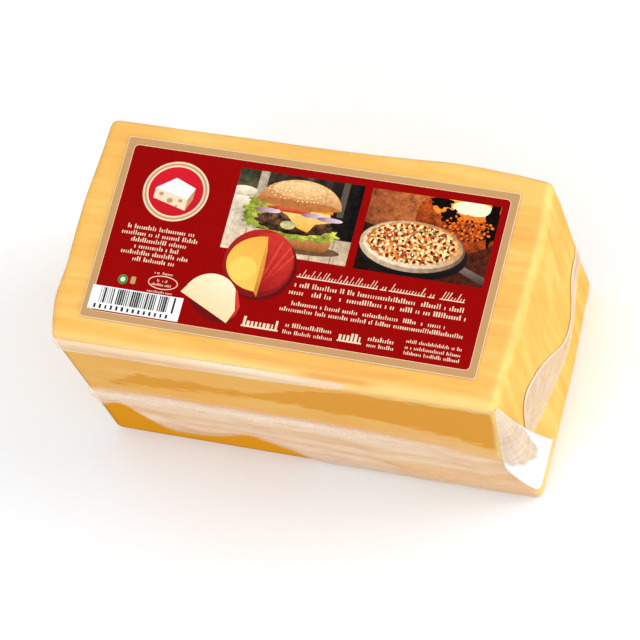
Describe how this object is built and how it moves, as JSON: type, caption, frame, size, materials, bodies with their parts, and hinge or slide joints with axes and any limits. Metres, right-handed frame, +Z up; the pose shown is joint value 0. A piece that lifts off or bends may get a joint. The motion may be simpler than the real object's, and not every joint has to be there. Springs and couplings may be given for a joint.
{
  "type": "wrapped cheese block",
  "caption": "Rectangular block of edam-style cheese, vacuum-packed in clear film with a folded seal fin at one end and a flat paper label on top.",
  "frame": {"origin": "middle of the block's flat underside", "axes": "+X along the block's length towards the end with the seal fin, +Y towards the back, +Z up to the label"},
  "size_m": [0.1516, 0.0811, 0.0822],
  "materials": {
    "film": "clear glossy film over pale yellow cheese",
    "label": "satin printed paper, dark red with a gold border"
  },
  "bodies": {
    "root": {"cheese_pack": "film", "label": "label"}
  },
  "joints": []
}
